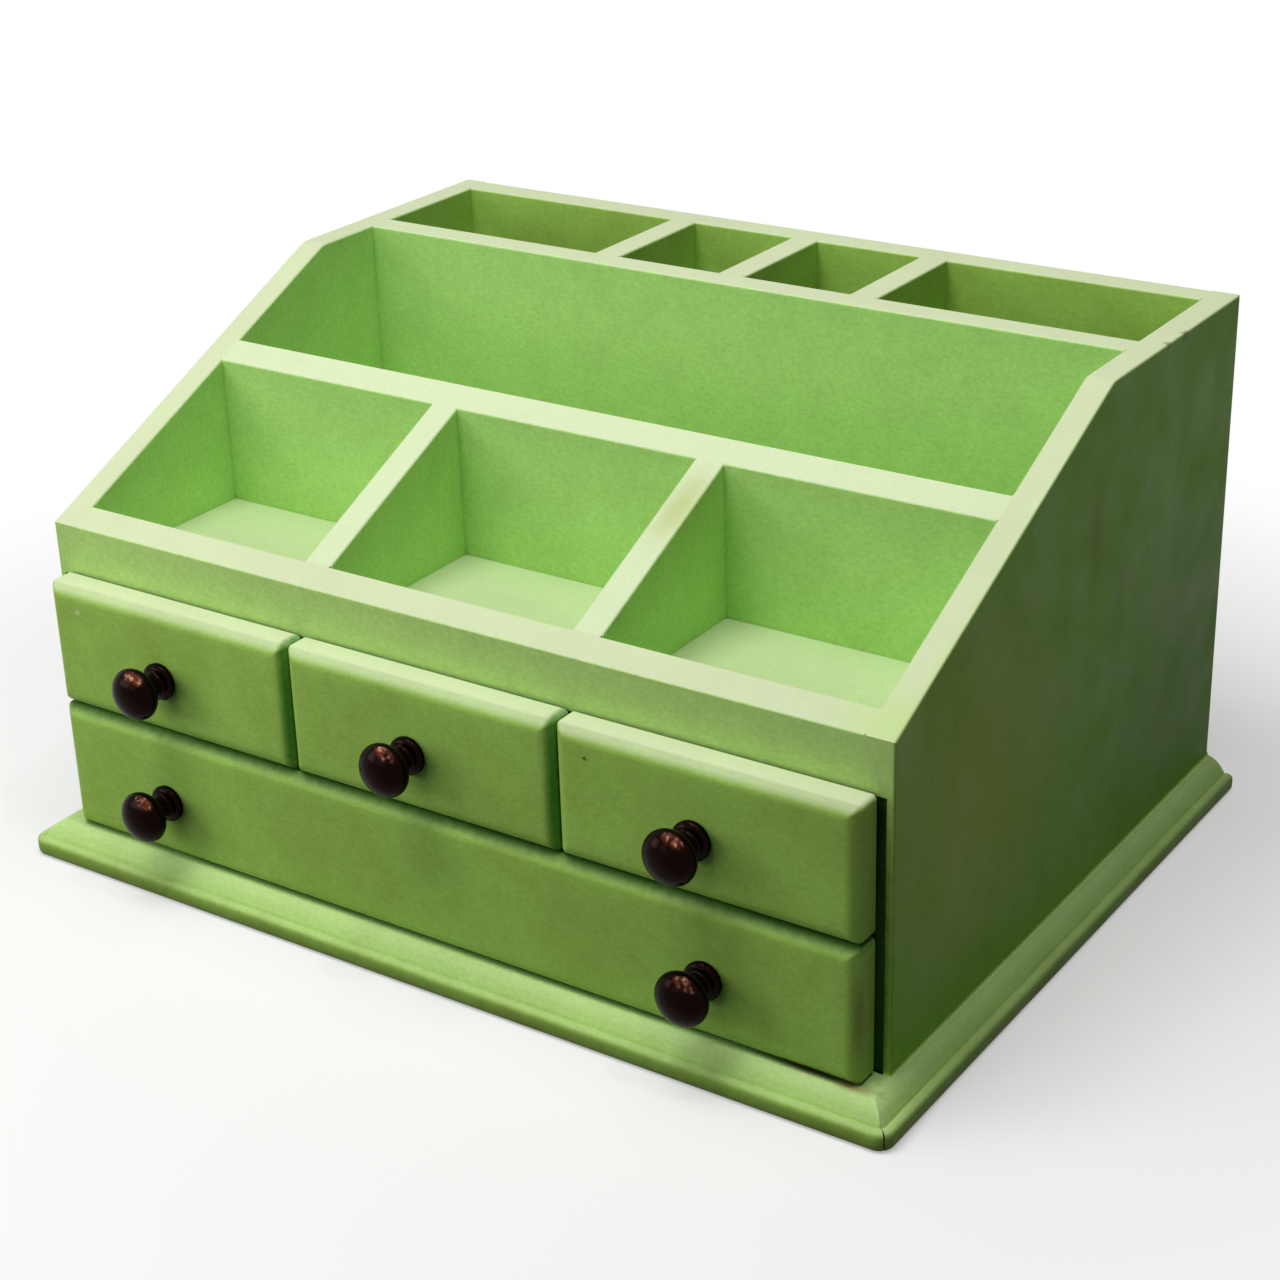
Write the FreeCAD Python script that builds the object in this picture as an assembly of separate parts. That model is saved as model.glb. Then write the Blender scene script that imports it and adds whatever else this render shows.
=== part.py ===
import FreeCAD, Part
import math
import os

os.makedirs("parts", exist_ok=True)

# A small painted wooden chest for a desk top. Three open trays sit in front of a
# long letter slot and four tall compartments, above three small drawers in a row
# and one wide drawer, all on a base with a moulded edge. Millimetres, +Z up, the
# front faces -Y. While the pieces are made, y = 0 is the front of the side panels,
# x = 0 the middle of the chest and z = 0 the surface that the base stands on.

# Boards
side_thickness = 11.0
back_thickness = 12.0
rail_thickness = 11.0
partition_thickness = 12.0
divider_thickness = 12.0
deck_thickness = 6.0
shelf_thickness = 6.0
edge_radius = 0.9
edge_radius_share = 0.4
knee_radius = 9.0

# Spaces between the boards: widths, then depths from front to back, then heights
bay_width = 106.5
tray_depth = 77.5
letter_slot_depth = 86.8
compartment_depth = 56.7
wide_bay_height = 50.5
small_bay_height = 42.5
tray_wall_height = 18.8
slope_rise = 71.2
level_run = 32.3

# Base board and its moulded edge
base_thickness = 13.5
base_front_reach = 12.0
moulding_width = 11.5
moulding_flat = 1.0
ovolo_bulge = 1.2
quirk_width = 0.6
quirk_depth = 0.6
bead_radius = 2.0
upright_edge = 3.5
foot_radius = 1.5
corner_radius = 4.5

# Drawer fronts
front_thickness = 11.8
front_stand_off = 1.2
front_side_reveal = 5.5
front_top_lap = 5.8
front_base_gap = 0.3
front_side_gap = 0.7
front_row_gap = 0.9
bevel_inset = 3.3
bevel_depth = 3.5
bevel_soften = 0.8
front_corner_radius = 2.0

# Drawer boxes
box_side_thickness = 6.0
box_back_thickness = 6.0
bottom_thickness = 3.0
bottom_rise = 3.0
groove_depth = 3.0
side_clearance = 0.5
run_clearance = 0.3
stop_clearance = 0.3
headroom = 3.0

# Turned knobs, and where their holes were drilled by hand: a little to the left of
# the middle of each front and below it, on the wide drawer also a little outside
# the columns of the small drawers
flange_thickness = 3.1
flange_lip = 3.3
neck_radius = 4.2
neck_length = 5.4
head_radius = 10.2
head_half_length = 6.0
knob_left_shift = 3.0
knob_drop = 2.8
wide_knob_outset = 3.3

# Screws that hold the knobs
screw_diameter = 4.0
screw_grip = 11.0
screw_head_diameter = 8.0
screw_head_height = 2.4
screw_slot_width = 1.0
screw_slot_depth = 1.0
screw_crown_share = 0.45
hole_clearance = 0.05

# Planes across the chest
divider_pitch = bay_width + divider_thickness
inner_half = 1.5 * bay_width + divider_thickness
half_width = inner_half + side_thickness

# Planes from front to back
middle_partition_y = rail_thickness + tray_depth
rear_partition_y = middle_partition_y + partition_thickness + letter_slot_depth
compartment_y = rear_partition_y + partition_thickness
back_face = compartment_y + compartment_depth
carcass_depth = back_face + back_thickness
knee_y = rear_partition_y - level_run
front_face_y = -front_stand_off - front_thickness
board_front = -base_front_reach

# Planes from the bottom up
base_top = base_thickness
shelf_under = base_top + wide_bay_height
shelf_top = shelf_under + shelf_thickness
deck_under = shelf_top + small_bay_height
deck_top = deck_under + deck_thickness
front_top = deck_top + tray_wall_height
panel_top = front_top + slope_rise

# Drawer fronts and the columns and rows of their knobs
front_half = half_width - front_side_reveal
small_front_width = (2 * front_half - 2 * front_side_gap) / 3
column_pitch = small_front_width + front_side_gap
row_split = (shelf_top + shelf_under) / 2
small_front_z = (row_split + front_row_gap / 2, deck_under + front_top_lap)
wide_front_z = (base_top + front_base_gap, row_split - front_row_gap / 2)
small_knob_z = sum(small_front_z) / 2 - knob_drop
wide_knob_z = sum(wide_front_z) / 2 - knob_drop

# Distances along a knob's axis from the drawer front
neck_end = flange_thickness + neck_length
head_centre = neck_end + head_half_length * math.sqrt(1 - (neck_radius / head_radius) ** 2)
knob_reach = head_centre + head_half_length

# The middle of the whole chest from knob tips to back
centre_y = (front_face_y - knob_reach + carcass_depth) / 2

# More than the chest is long, for cutting shapes that must pass right through it
beyond = 4 * (carcass_depth + half_width)
half_turn_sine = math.sin(math.pi / 4)


def point(x, y, z):
    return FreeCAD.Vector(x, y, z)


def near(value, target):
    return abs(value - target) < 0.001


def slope_height(y):
    """Height of the side panels' top edge at a distance y behind their front."""
    return front_top + slope_rise * min(y, knee_y) / knee_y


def board(x_range, y_range, z_range):
    """A plain board between two planes on each axis."""
    corner = point(x_range[0], y_range[0], z_range[0])
    length = x_range[1] - x_range[0]
    width = y_range[1] - y_range[0]
    height = z_range[1] - z_range[0]
    return Part.makeBox(length, width, height, corner)


def extrude_across(outline, x_range):
    """A solid with an outline of (y, z) points, running along X."""
    points = [point(x_range[0], y, z) for y, z in outline]
    face = Part.Face(Part.makePolygon(points + points[:1]))
    return face.extrude(point(x_range[1] - x_range[0], 0, 0))


def rounding(thickness):
    """The worn radius of a board's edge, limited by the board itself."""
    return min(edge_radius, edge_radius_share * thickness)


def round_top(shape, thickness):
    """Soften the two long top edges of a board that runs along X."""
    box = shape.BoundBox
    chosen = []
    for edge in shape.Edges:
        start, end = edge.Vertexes[0].Point, edge.Vertexes[-1].Point
        runs_along = near(start.y, end.y) and near(start.z, end.z) and not near(start.x, end.x)
        on_face = near(start.y, box.YMin) or near(start.y, box.YMax)
        if runs_along and on_face and not near(start.z, box.ZMin):
            chosen.append(edge)
    return shape.makeFillet(rounding(thickness), chosen)


def round_ridge(shape, thickness):
    """Soften the two long top edges of a divider that runs from front to back."""
    box = shape.BoundBox
    chosen = []
    for edge in shape.Edges:
        start, end = edge.Vertexes[0].Point, edge.Vertexes[-1].Point
        runs_along = near(start.x, end.x) and not near(start.y, end.y)
        if runs_along and not near(min(start.z, end.z), box.ZMin):
            chosen.append(edge)
    return shape.makeFillet(rounding(thickness), chosen)


# Carcass boards

def side_panel(x_range):
    """Side panel: upright front edge, slope, rounded knee and level top."""
    outline = [
        (0, base_top),
        (carcass_depth, base_top),
        (carcass_depth, panel_top),
        (knee_y, panel_top),
        (0, front_top),
    ]
    panel = extrude_across(outline, x_range)
    knee = [edge for edge in panel.Edges
            if near(edge.BoundBox.YMin, knee_y) and near(edge.BoundBox.YMax, knee_y)]
    panel = panel.makeFillet(knee_radius, knee)
    outer_x = max(x_range, key=abs)
    worn = []
    for edge in panel.Edges:
        box = edge.BoundBox
        crosses = not near(box.XMin, box.XMax)
        at_foot = near(box.ZMax, base_top)
        on_outside = near(box.XMin, outer_x)
        over_the_top = box.ZMin > front_top - 0.001 and not near(box.YMin, box.YMax)
        if not crosses and not at_foot and (on_outside or over_the_top):
            worn.append(edge)
    return panel.makeFillet(rounding(side_thickness), worn)


def back_panel():
    panel = board((-inner_half, inner_half), (back_face, carcass_depth), (base_top, panel_top))
    return round_top(panel, back_thickness)


def deck():
    """Floor of the trays and compartments, behind the front rail."""
    return board((-inner_half, inner_half), (rail_thickness, back_face), (deck_under, deck_top))


def drawer_shelf():
    return board((-inner_half, inner_half), (0, back_face), (shelf_under, shelf_top))


def cross_board(y_front, thickness, foot):
    """A board from side to side, its top in line with the side panels."""
    y_back = y_front + thickness
    outline = [(y_front, foot), (y_back, foot), (y_back, slope_height(y_back))]
    if y_front < knee_y < y_back:
        outline.append((knee_y, panel_top))
    outline.append((y_front, slope_height(y_front)))
    return round_top(extrude_across(outline, (-inner_half, inner_half)), thickness)


def across(x_middle, thickness):
    return (x_middle - thickness / 2, x_middle + thickness / 2)


def tray_divider(x_middle):
    """Divider between two trays, from the rail back to the middle partition."""
    y_front, y_back = rail_thickness, middle_partition_y
    outline = [
        (y_front, deck_top),
        (y_back, deck_top),
        (y_back, slope_height(y_back)),
        (y_front, slope_height(y_front)),
    ]
    divider = extrude_across(outline, across(x_middle, divider_thickness))
    return round_ridge(divider, divider_thickness)


def rear_divider(x_middle):
    x_range = across(x_middle, divider_thickness)
    divider = board(x_range, (compartment_y, back_face), (deck_top, panel_top))
    return round_ridge(divider, divider_thickness)


def bay_divider(x_middle):
    """Upright between two small drawers."""
    return board(across(x_middle, divider_thickness), (0, back_face), (shelf_top, deck_under))


# Base

def base_board():
    return board((-half_width, half_width), (board_front, carcass_depth), (0, base_thickness))


def moulding_section(place):
    """Section of the moulding as a face; place turns (reach, height) into a point."""
    shoulder = (moulding_flat, base_thickness)
    bead_height = foot_radius + upright_edge + bead_radius
    bead_start = (moulding_width - bead_radius, bead_height)
    quirk = (bead_start[0] - quirk_width, bead_height)
    ovolo_end = (quirk[0], bead_height + quirk_depth)
    chord_x = ovolo_end[0] - shoulder[0]
    chord_z = shoulder[1] - ovolo_end[1]
    chord = math.hypot(chord_x, chord_z)
    ovolo_middle = (
        (shoulder[0] + ovolo_end[0]) / 2 + ovolo_bulge * chord_z / chord,
        (shoulder[1] + ovolo_end[1]) / 2 + ovolo_bulge * chord_x / chord,
    )
    bead_middle = (
        bead_start[0] + bead_radius * half_turn_sine,
        bead_height - bead_radius * (1 - half_turn_sine),
    )
    bead_end = (moulding_width, bead_height - bead_radius)
    foot_start = (moulding_width, foot_radius)
    foot_middle = (
        moulding_width - foot_radius * (1 - half_turn_sine),
        foot_radius * (1 - half_turn_sine),
    )
    foot_end = (moulding_width - foot_radius, 0)
    runs = [
        ((0, 0), (0, base_thickness)),
        ((0, base_thickness), shoulder),
        (shoulder, ovolo_middle, ovolo_end),
        (ovolo_end, quirk),
        (quirk, bead_start),
        (bead_start, bead_middle, bead_end),
        (bead_end, foot_start),
        (foot_start, foot_middle, foot_end),
        (foot_end, (0, 0)),
    ]
    edges = []
    for run in runs:
        ends = [place(reach, height) for reach, height in run]
        edges.append(Part.makeLine(*ends) if len(ends) == 2 else Part.Arc(*ends).toShape())
    return Part.Face(Part.Wire(edges))


def rounded_corner(side):
    """The moulding's outer part, turned about an upright axis inside a front corner."""
    inside = moulding_width - corner_radius
    hinge = point(side * (half_width + inside), board_front - inside, 0)

    def place(reach, height):
        return point(hinge.x, board_front - reach, height)

    section = moulding_section(place)
    outer = board((-beyond, beyond), (-beyond, hinge.y), (-1, base_thickness + 1))
    return section.common(outer).revolve(hinge, point(0, 0, 1), side * 90)


def beyond_mitre(side):
    """Everything on the side strip's side of the mitre at a front corner."""
    corner = point(side * half_width, board_front, -1)
    points = [
        corner + point(-side * beyond, beyond, 0),
        corner + point(side * beyond, -beyond, 0),
        corner + point(side * beyond, beyond, 0),
    ]
    face = Part.Face(Part.makePolygon(points + points[:1]))
    return face.extrude(point(0, 0, base_thickness + 2))


def base_moulding_front():
    """Front strip, mitred at both ends, with rounded outer corners."""
    reach_x = half_width + moulding_width - corner_radius
    section = moulding_section(lambda reach, height: point(-reach_x, board_front - reach, height))
    strip = section.extrude(point(2 * reach_x, 0, 0))
    for side in (-1, 1):
        strip = strip.fuse(rounded_corner(side)).cut(beyond_mitre(side))
    return strip.removeSplitter()


def base_moulding_side(side):
    """Side strip, mitred at the front and cut square at the back."""
    start_y = board_front - moulding_width + corner_radius
    section = moulding_section(
        lambda reach, height: point(side * (half_width + reach), start_y, height)
    )
    strip = section.extrude(point(0, carcass_depth - start_y, 0))
    strip = strip.fuse(rounded_corner(side)).common(beyond_mitre(side))
    return strip.removeSplitter()


# Knobs and their screws

def knob_head_edges(place):
    """The head's half outline as two elliptical arcs, which meet at its widest point."""
    centre, rim = place(0, head_centre), place(head_radius, head_centre)
    tip, neck = place(0, knob_reach), place(neck_radius, neck_end)
    if head_radius > head_half_length:
        ellipse = Part.Ellipse(rim, tip, centre)
    else:
        ellipse = Part.Ellipse(tip, rim, centre)
    arcs = []
    for start, end in ((neck, rim), (rim, tip)):
        first, last = ellipse.parameter(start), ellipse.parameter(end)
        if (last - first) % (2 * math.pi) > math.pi:
            first, last = last, first
        arcs.append(ellipse.toBSpline(first, first + (last - first) % (2 * math.pi)).toShape())
    return arcs


def knob(x, z):
    """Turned knob: rounded flange, neck with a small cove, and flattened ball head."""
    bead = flange_thickness / 2
    cove = flange_lip - bead

    def place(radius, distance):
        return point(x + radius, front_face_y - distance, z)

    flange_radius = neck_radius + flange_lip
    cove_middle = (
        neck_radius + cove * (1 - half_turn_sine),
        flange_thickness + cove * (1 - half_turn_sine),
    )
    edges = [
        Part.makeLine(place(0, 0), place(flange_radius - bead, 0)),
        Part.Arc(place(flange_radius - bead, 0), place(flange_radius, bead),
                 place(flange_radius - bead, flange_thickness)).toShape(),
        Part.Arc(place(flange_radius - bead, flange_thickness), place(*cove_middle),
                 place(neck_radius, flange_thickness + cove)).toShape(),
        Part.makeLine(place(neck_radius, flange_thickness + cove), place(neck_radius, neck_end)),
        *knob_head_edges(place),
        Part.makeLine(place(0, knob_reach), place(0, 0)),
    ]
    profile = Part.Face(Part.Wire(Part.sortEdges(edges)[0]))
    turned = profile.revolve(point(x, 0, z), point(0, 1, 0), 360)
    return turned.cut(screw_hole(x, z, front_face_y, screw_grip + hole_clearance))


def screw_hole(x, z, start_y, depth):
    radius = screw_diameter / 2 + hole_clearance
    return Part.makeCylinder(radius, depth, point(x, start_y, z), point(0, -1, 0))


def knob_screw(x, z):
    """Slotted screw from inside the drawer, through the front into the knob."""
    seat = -front_stand_off
    head = Part.makeCylinder(screw_head_diameter / 2, screw_head_height, point(x, seat, z), point(0, 1, 0))
    crown = screw_crown_share * min(screw_head_height, screw_head_diameter)
    rim = [edge for edge in head.Edges if near(edge.BoundBox.YMin, seat + screw_head_height)]
    head = head.makeFillet(crown, rim)
    length = front_thickness + screw_grip
    shank = Part.makeCylinder(screw_diameter / 2, length, point(x, seat, z), point(0, -1, 0))
    slot = board(
        (x - screw_head_diameter, x + screw_head_diameter),
        (seat + screw_head_height - screw_slot_depth, seat + screw_head_height + 1),
        (z - screw_slot_width / 2, z + screw_slot_width / 2),
    )
    return head.fuse(shank).cut(slot).removeSplitter()


# Drawers

def bevelled_front(x_range, z_range):
    """Drawer front with a bevel all round its face and rounded corners."""
    rear_y = -front_stand_off
    shoulder_y = front_face_y + bevel_depth

    def rectangle(inset, y):
        left, right = x_range[0] + inset, x_range[1] - inset
        low, high = z_range[0] + inset, z_range[1] - inset
        corners = [(left, low), (right, low), (right, high), (left, high), (left, low)]
        return Part.makePolygon([point(x, y, z) for x, z in corners])

    nose = Part.makeLoft([rectangle(0, shoulder_y), rectangle(bevel_inset, front_face_y)], True, True)
    slab = Part.Face(rectangle(0, shoulder_y)).extrude(point(0, rear_y - shoulder_y, 0))
    blank = slab.fuse(nose).removeSplitter()
    creases = [edge for edge in blank.Edges if near(edge.BoundBox.YMin, front_face_y)]
    blank = blank.makeFillet(bevel_soften, creases)
    envelope = Part.Face(rectangle(0, rear_y)).extrude(point(0, front_face_y - rear_y, 0))
    uprights = [edge for edge in envelope.Edges if not near(edge.BoundBox.YMin, edge.BoundBox.YMax)]
    return blank.common(envelope.makeFillet(front_corner_radius, uprights))


def drawer(bay_x, run_z, roof_z, front_x, front_z, knob_places):
    """The boards of one drawer, with the screws for its knobs."""
    left, right = bay_x[0] + side_clearance, bay_x[1] - side_clearance
    low, high = run_z + run_clearance, roof_z - headroom
    front_y, rear_y = -front_stand_off, back_face - stop_clearance
    inner = (left + box_side_thickness, right - box_side_thickness)
    bottom_z = (low + bottom_rise, low + bottom_rise + bottom_thickness)
    bottom_x = (inner[0] - groove_depth, inner[1] + groove_depth)
    bottom = board(bottom_x, (front_y - groove_depth, rear_y), bottom_z)
    front = bevelled_front(front_x, front_z).cut(bottom)
    for x, z in knob_places:
        front = front.cut(screw_hole(x, z, front_y, front_thickness))
    screws = [knob_screw(x, z) for x, z in knob_places]
    return {
        "front": front,
        "left_side": board((left, inner[0]), (front_y, rear_y), (low, high)).cut(bottom),
        "right_side": board((inner[1], right), (front_y, rear_y), (low, high)).cut(bottom),
        "back": board(inner, (rear_y - box_back_thickness, rear_y), (bottom_z[1], high)),
        "bottom": bottom,
        "knob_screw": Part.makeCompound(screws) if len(screws) > 1 else screws[0],
    }


def small_drawer(place):
    """place is -1, 0 or 1 for the left, middle or right small drawer."""
    bay_x = across(place * divider_pitch, bay_width)
    front_x = across(place * column_pitch, small_front_width)
    knob_place = (place * column_pitch - knob_left_shift, small_knob_z)
    pieces = drawer(bay_x, shelf_top, deck_under, front_x, small_front_z, [knob_place])
    pieces["knob"] = knob(*knob_place)
    return pieces


def wide_drawer():
    column = column_pitch + wide_knob_outset
    knob_places = [(x - knob_left_shift, wide_knob_z) for x in (-column, column)]
    bay_x = (-inner_half, inner_half)
    pieces = drawer(bay_x, base_top, shelf_under, (-front_half, front_half), wide_front_z, knob_places)
    pieces["knob_left"] = knob(*knob_places[0])
    pieces["knob_right"] = knob(*knob_places[1])
    return pieces


def carcass():
    return {
        "side_panel_left": side_panel((-half_width, -inner_half)),
        "side_panel_right": side_panel((inner_half, half_width)),
        "back_panel": back_panel(),
        "deck": deck(),
        "drawer_shelf": drawer_shelf(),
        "front_rail": cross_board(0, rail_thickness, deck_under),
        "middle_partition": cross_board(middle_partition_y, partition_thickness, deck_top),
        "rear_partition": cross_board(rear_partition_y, partition_thickness, deck_top),
        "tray_divider_left": tray_divider(-divider_pitch / 2),
        "tray_divider_right": tray_divider(divider_pitch / 2),
        "rear_divider_left": rear_divider(-divider_pitch / 2),
        "rear_divider_middle": rear_divider(0),
        "rear_divider_right": rear_divider(divider_pitch / 2),
        "bay_divider_left": bay_divider(-divider_pitch / 2),
        "bay_divider_right": bay_divider(divider_pitch / 2),
        "base_board": base_board(),
        "base_moulding_front": base_moulding_front(),
        "base_moulding_left": base_moulding_side(-1),
        "base_moulding_right": base_moulding_side(1),
    }


def whole_chest():
    nodes = carcass()
    for name, place in (("left", -1), ("middle", 0), ("right", 1)):
        for piece, shape in small_drawer(place).items():
            nodes[name + "_drawer_" + piece] = shape
    for piece, shape in wide_drawer().items():
        nodes["wide_drawer_" + piece] = shape
    return nodes


for node, shape in whole_chest().items():
    shape.translate(point(0, -centre_y, 0))
    shape.exportStep("parts/" + node + ".step")
    print(node, len(shape.Solids), "solid,", "valid," if shape.isValid() else "NOT VALID,",
          round(shape.Volume, 1), "cubic mm")
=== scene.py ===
# %% [markdown]
# # A mini chest of drawers in painted wood
#
# The real object is a desk organizer made at home from thin boards: three open
# trays, a letter slot and four tall compartments above three small drawers and one
# wide drawer. The boards are brushed with apple-green satin enamel, the five turned
# knobs are stained almost black and lacquered, and the drawer boxes are bare pine.
#
# The construction comes from a CAD model, so this script first loads it as a fixed
# frame. Every CAD node is already at its real size and place, in metres, with +Z up
# and the front facing -Y. What is left to make is what the eye sees: hand-softened
# drawer fronts, turned knobs, a moulding with an open mitre, finishes, light and a
# camera.

# %% Load the CAD frame
import math

import bmesh
import bpy
from mathutils import Matrix, Vector


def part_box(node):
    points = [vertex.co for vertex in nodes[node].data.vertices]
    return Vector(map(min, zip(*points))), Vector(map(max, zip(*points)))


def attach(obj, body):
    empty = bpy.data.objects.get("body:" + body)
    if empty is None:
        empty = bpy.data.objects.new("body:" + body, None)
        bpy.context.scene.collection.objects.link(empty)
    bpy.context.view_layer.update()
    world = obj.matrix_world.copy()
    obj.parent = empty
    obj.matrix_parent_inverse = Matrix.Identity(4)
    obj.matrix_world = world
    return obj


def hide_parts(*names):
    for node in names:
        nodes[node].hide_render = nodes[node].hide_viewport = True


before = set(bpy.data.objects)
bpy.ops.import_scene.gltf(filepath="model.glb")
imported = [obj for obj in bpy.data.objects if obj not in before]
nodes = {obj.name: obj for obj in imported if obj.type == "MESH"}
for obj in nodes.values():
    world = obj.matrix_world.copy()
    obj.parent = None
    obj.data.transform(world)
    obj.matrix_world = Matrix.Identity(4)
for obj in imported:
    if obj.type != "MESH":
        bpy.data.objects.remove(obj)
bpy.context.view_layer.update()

scene = bpy.context.scene
scene.view_settings.view_transform = "Standard"

# %% [markdown]
# ## Millimetres and the planes of the chest
#
# A woodworker thinks in millimetres and Blender thinks in metres, so one constant
# converts. Several finishes change at a plane of the chest: paint ends inside the
# drawer bays, and the trays are better protected than the outside. Those planes are
# read from the frame instead of typed in, so they always agree with the boards. The
# drawers and the knobs are listed here too, because several cells go through them.

# %% Units and planes
MM = 0.001

deck_low, deck_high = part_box("deck")
panel_low, panel_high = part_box("side_panel_right")
base_low, base_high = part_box("base_board")
inner_half = deck_high[0]
half_width = panel_high[0]
carcass_front = panel_low[1]
carcass_back = panel_high[1]
base_top = base_high[2]
drawers = ["left_drawer", "middle_drawer", "right_drawer", "wide_drawer"]
knobs = [name for name in nodes if "knob" in name and "screw" not in name]
print("carcass", round(2 * half_width / MM, 1), "mm wide,",
      round((carcass_back - carcass_front) / MM, 1), "mm deep")

# %% [markdown]
# ## Colours and a node helper
#
# Colours are easier to pick as sRGB hex values, but shaders work with linear light,
# so one function converts them. Every material below is a network of small nodes.
# They could be joined by hand in the shader editor, but a script can be read and
# repeated. One helper adds a node, sets its properties and fills its inputs, where an
# input may be a number, a hex colour, a socket or a whole node.

# %% The colour function and the node helper
def linear(hex_colour):
    """sRGB hex colour such as '#8CC860' to linear RGBA."""
    channels = [int(hex_colour[i:i + 2], 16) / 255 for i in (1, 3, 5)]
    curve = [c / 12.92 if c <= 0.04045 else ((c + 0.055) / 1.055) ** 2.4 for c in channels]
    return (*curve, 1.0)


def fill_inputs(tree, node, **inputs):
    """Set or link inputs, by socket name with _ for a space, or by number as _0."""
    for name, value in inputs.items():
        if name[1:].isdigit():
            socket = node.inputs[int(name[1:])]
        else:
            wanted = name.replace("_", " ")
            socket = next(s for s in node.inputs if s.enabled and s.name == wanted)
        if isinstance(value, bpy.types.Node):
            value = next(s for s in value.outputs if s.enabled)
        if isinstance(value, bpy.types.NodeSocket):
            tree.links.new(value, socket)
        else:
            socket.default_value = linear(value) if isinstance(value, str) else value


def add_node(tree, kind, settings=None, **inputs):
    """Add a node with its settings, such as the stops of a colour ramp, and its inputs."""
    node = tree.nodes.new(kind)
    for name, value in (settings or {}).items():
        if name == "stops":
            elements = node.color_ramp.elements
            while len(elements) < len(value):
                elements.new(0.5)
            for element, (position, colour) in zip(elements, value):
                element.position = position
                element.color = linear(colour) if isinstance(colour, str) else (*[colour] * 3, 1)
        else:
            setattr(node, name, value)
    fill_inputs(tree, node, **inputs)
    return node


# Settings that many nodes share
RGBA = {"data_type": "RGBA"}
TINTED = {"data_type": "RGBA", "blend_type": "MULTIPLY"}
TIMES = {"operation": "MULTIPLY"}
LARGER = {"operation": "MAXIMUM"}
SMOOTH = {"interpolation_type": "SMOOTHSTEP"}


def new_material(name, **sockets):
    """A material with one Principled BSDF; sockets are its plain values by name."""
    material = bpy.data.materials.new(name)
    material.use_nodes = True
    tree = material.node_tree
    tree.nodes.clear()
    shader = add_node(tree, "ShaderNodeBsdfPrincipled", **sockets)
    add_node(tree, "ShaderNodeOutputMaterial", Surface=shader)
    return material, tree, shader


print("middle grey in linear light:", [round(c, 3) for c in linear("#808080")[:3]])

# %% [markdown]
# ## The camera
#
# The camera comes before the finishes, because it decides what has to look right.
# Its direction, height and small roll are those of the photograph's viewpoint, to
# the front right and above, with a long lens so that the verticals hardly converge.
# A constraint could aim it, but its place and angles are known, so they are written.

# %% Camera
camera_place = Vector((518.1, -742.9, 500.8)) * MM
camera_azimuth = math.radians(34.52)
camera_elevation = math.radians(24.78)
camera_roll = math.radians(-1.793)
lens_mm = 71.99

direction = Vector((
    -math.sin(camera_azimuth) * math.cos(camera_elevation),
    math.cos(camera_azimuth) * math.cos(camera_elevation),
    -math.sin(camera_elevation),
))
camera_data = bpy.data.cameras.new("camera")
camera_data.sensor_width = 36
camera_data.lens = lens_mm
camera = bpy.data.objects.new("camera", camera_data)
scene.collection.objects.link(camera)
camera.location = camera_place
turn = direction.to_track_quat("-Z", "Y").to_matrix() @ Matrix.Rotation(camera_roll, 3, "Z")
camera.rotation_euler = turn.to_euler()
scene.camera = camera
print("camera", round((camera_place - Vector((0, 0, 0.1))).length, 3), "m from the chest")

# %% [markdown]
# ## Patterns at their real scale
#
# Nothing painted or planed by hand is even. Noise textures give that unevenness,
# and each one is asked for by the size of its blobs in millimetres. Drawn out along
# a board, the same noise becomes brush strokes or wood fibres. Pictures of old paint
# could do it too, but noise needs no file and no unwrapping, and never repeats. All
# patterns use object coordinates, which here are the frame's own metres, so a
# pattern keeps its scale on every piece and moves with a drawer.

# %% Noise by size in millimetres
def pattern(tree, period_mm, along="", times=1.0, detail=2.0, roughness=0.5, seed=0.0):
    """Noise with blobs about period_mm across, drawn out some times along an axis."""
    place = add_node(tree, "ShaderNodeTexCoord").outputs["Object"]
    squeeze = [1 / times if axis == along else 1.0 for axis in "xyz"]
    mapped = add_node(tree, "ShaderNodeMapping", Vector=place, Scale=squeeze,
                      Location=(seed, 2 * seed, 3 * seed))
    noise = add_node(tree, "ShaderNodeTexNoise", Vector=mapped, Scale=1 / (period_mm * MM),
                     Detail=detail, Roughness=roughness)
    return noise.outputs["Fac"]


print("patterns are sized in mm, and a metre of the frame has", round(1 / MM))

# %% [markdown]
# ## Masks: a region, a height and a spot
#
# Where the painter stopped brushing, the paint ends in an uneven line. A box mask
# with its border pushed about by noise gives that. Other changes follow the height
# above the table. A chip or a scuff is smaller: a ball around one place of the chest,
# also broken up by noise. A crisp mark has a broken outline, and a soft one fades
# evenly. Masks could be painted on each mesh by hand, but these are measured in the
# frame, so one mask holds for every board that it crosses.

# %% Region, height and spot masks
border_wobble_mm = 7
crisp_break, soft_break = 1.4, 0.4
soft_from = 0.95


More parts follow.
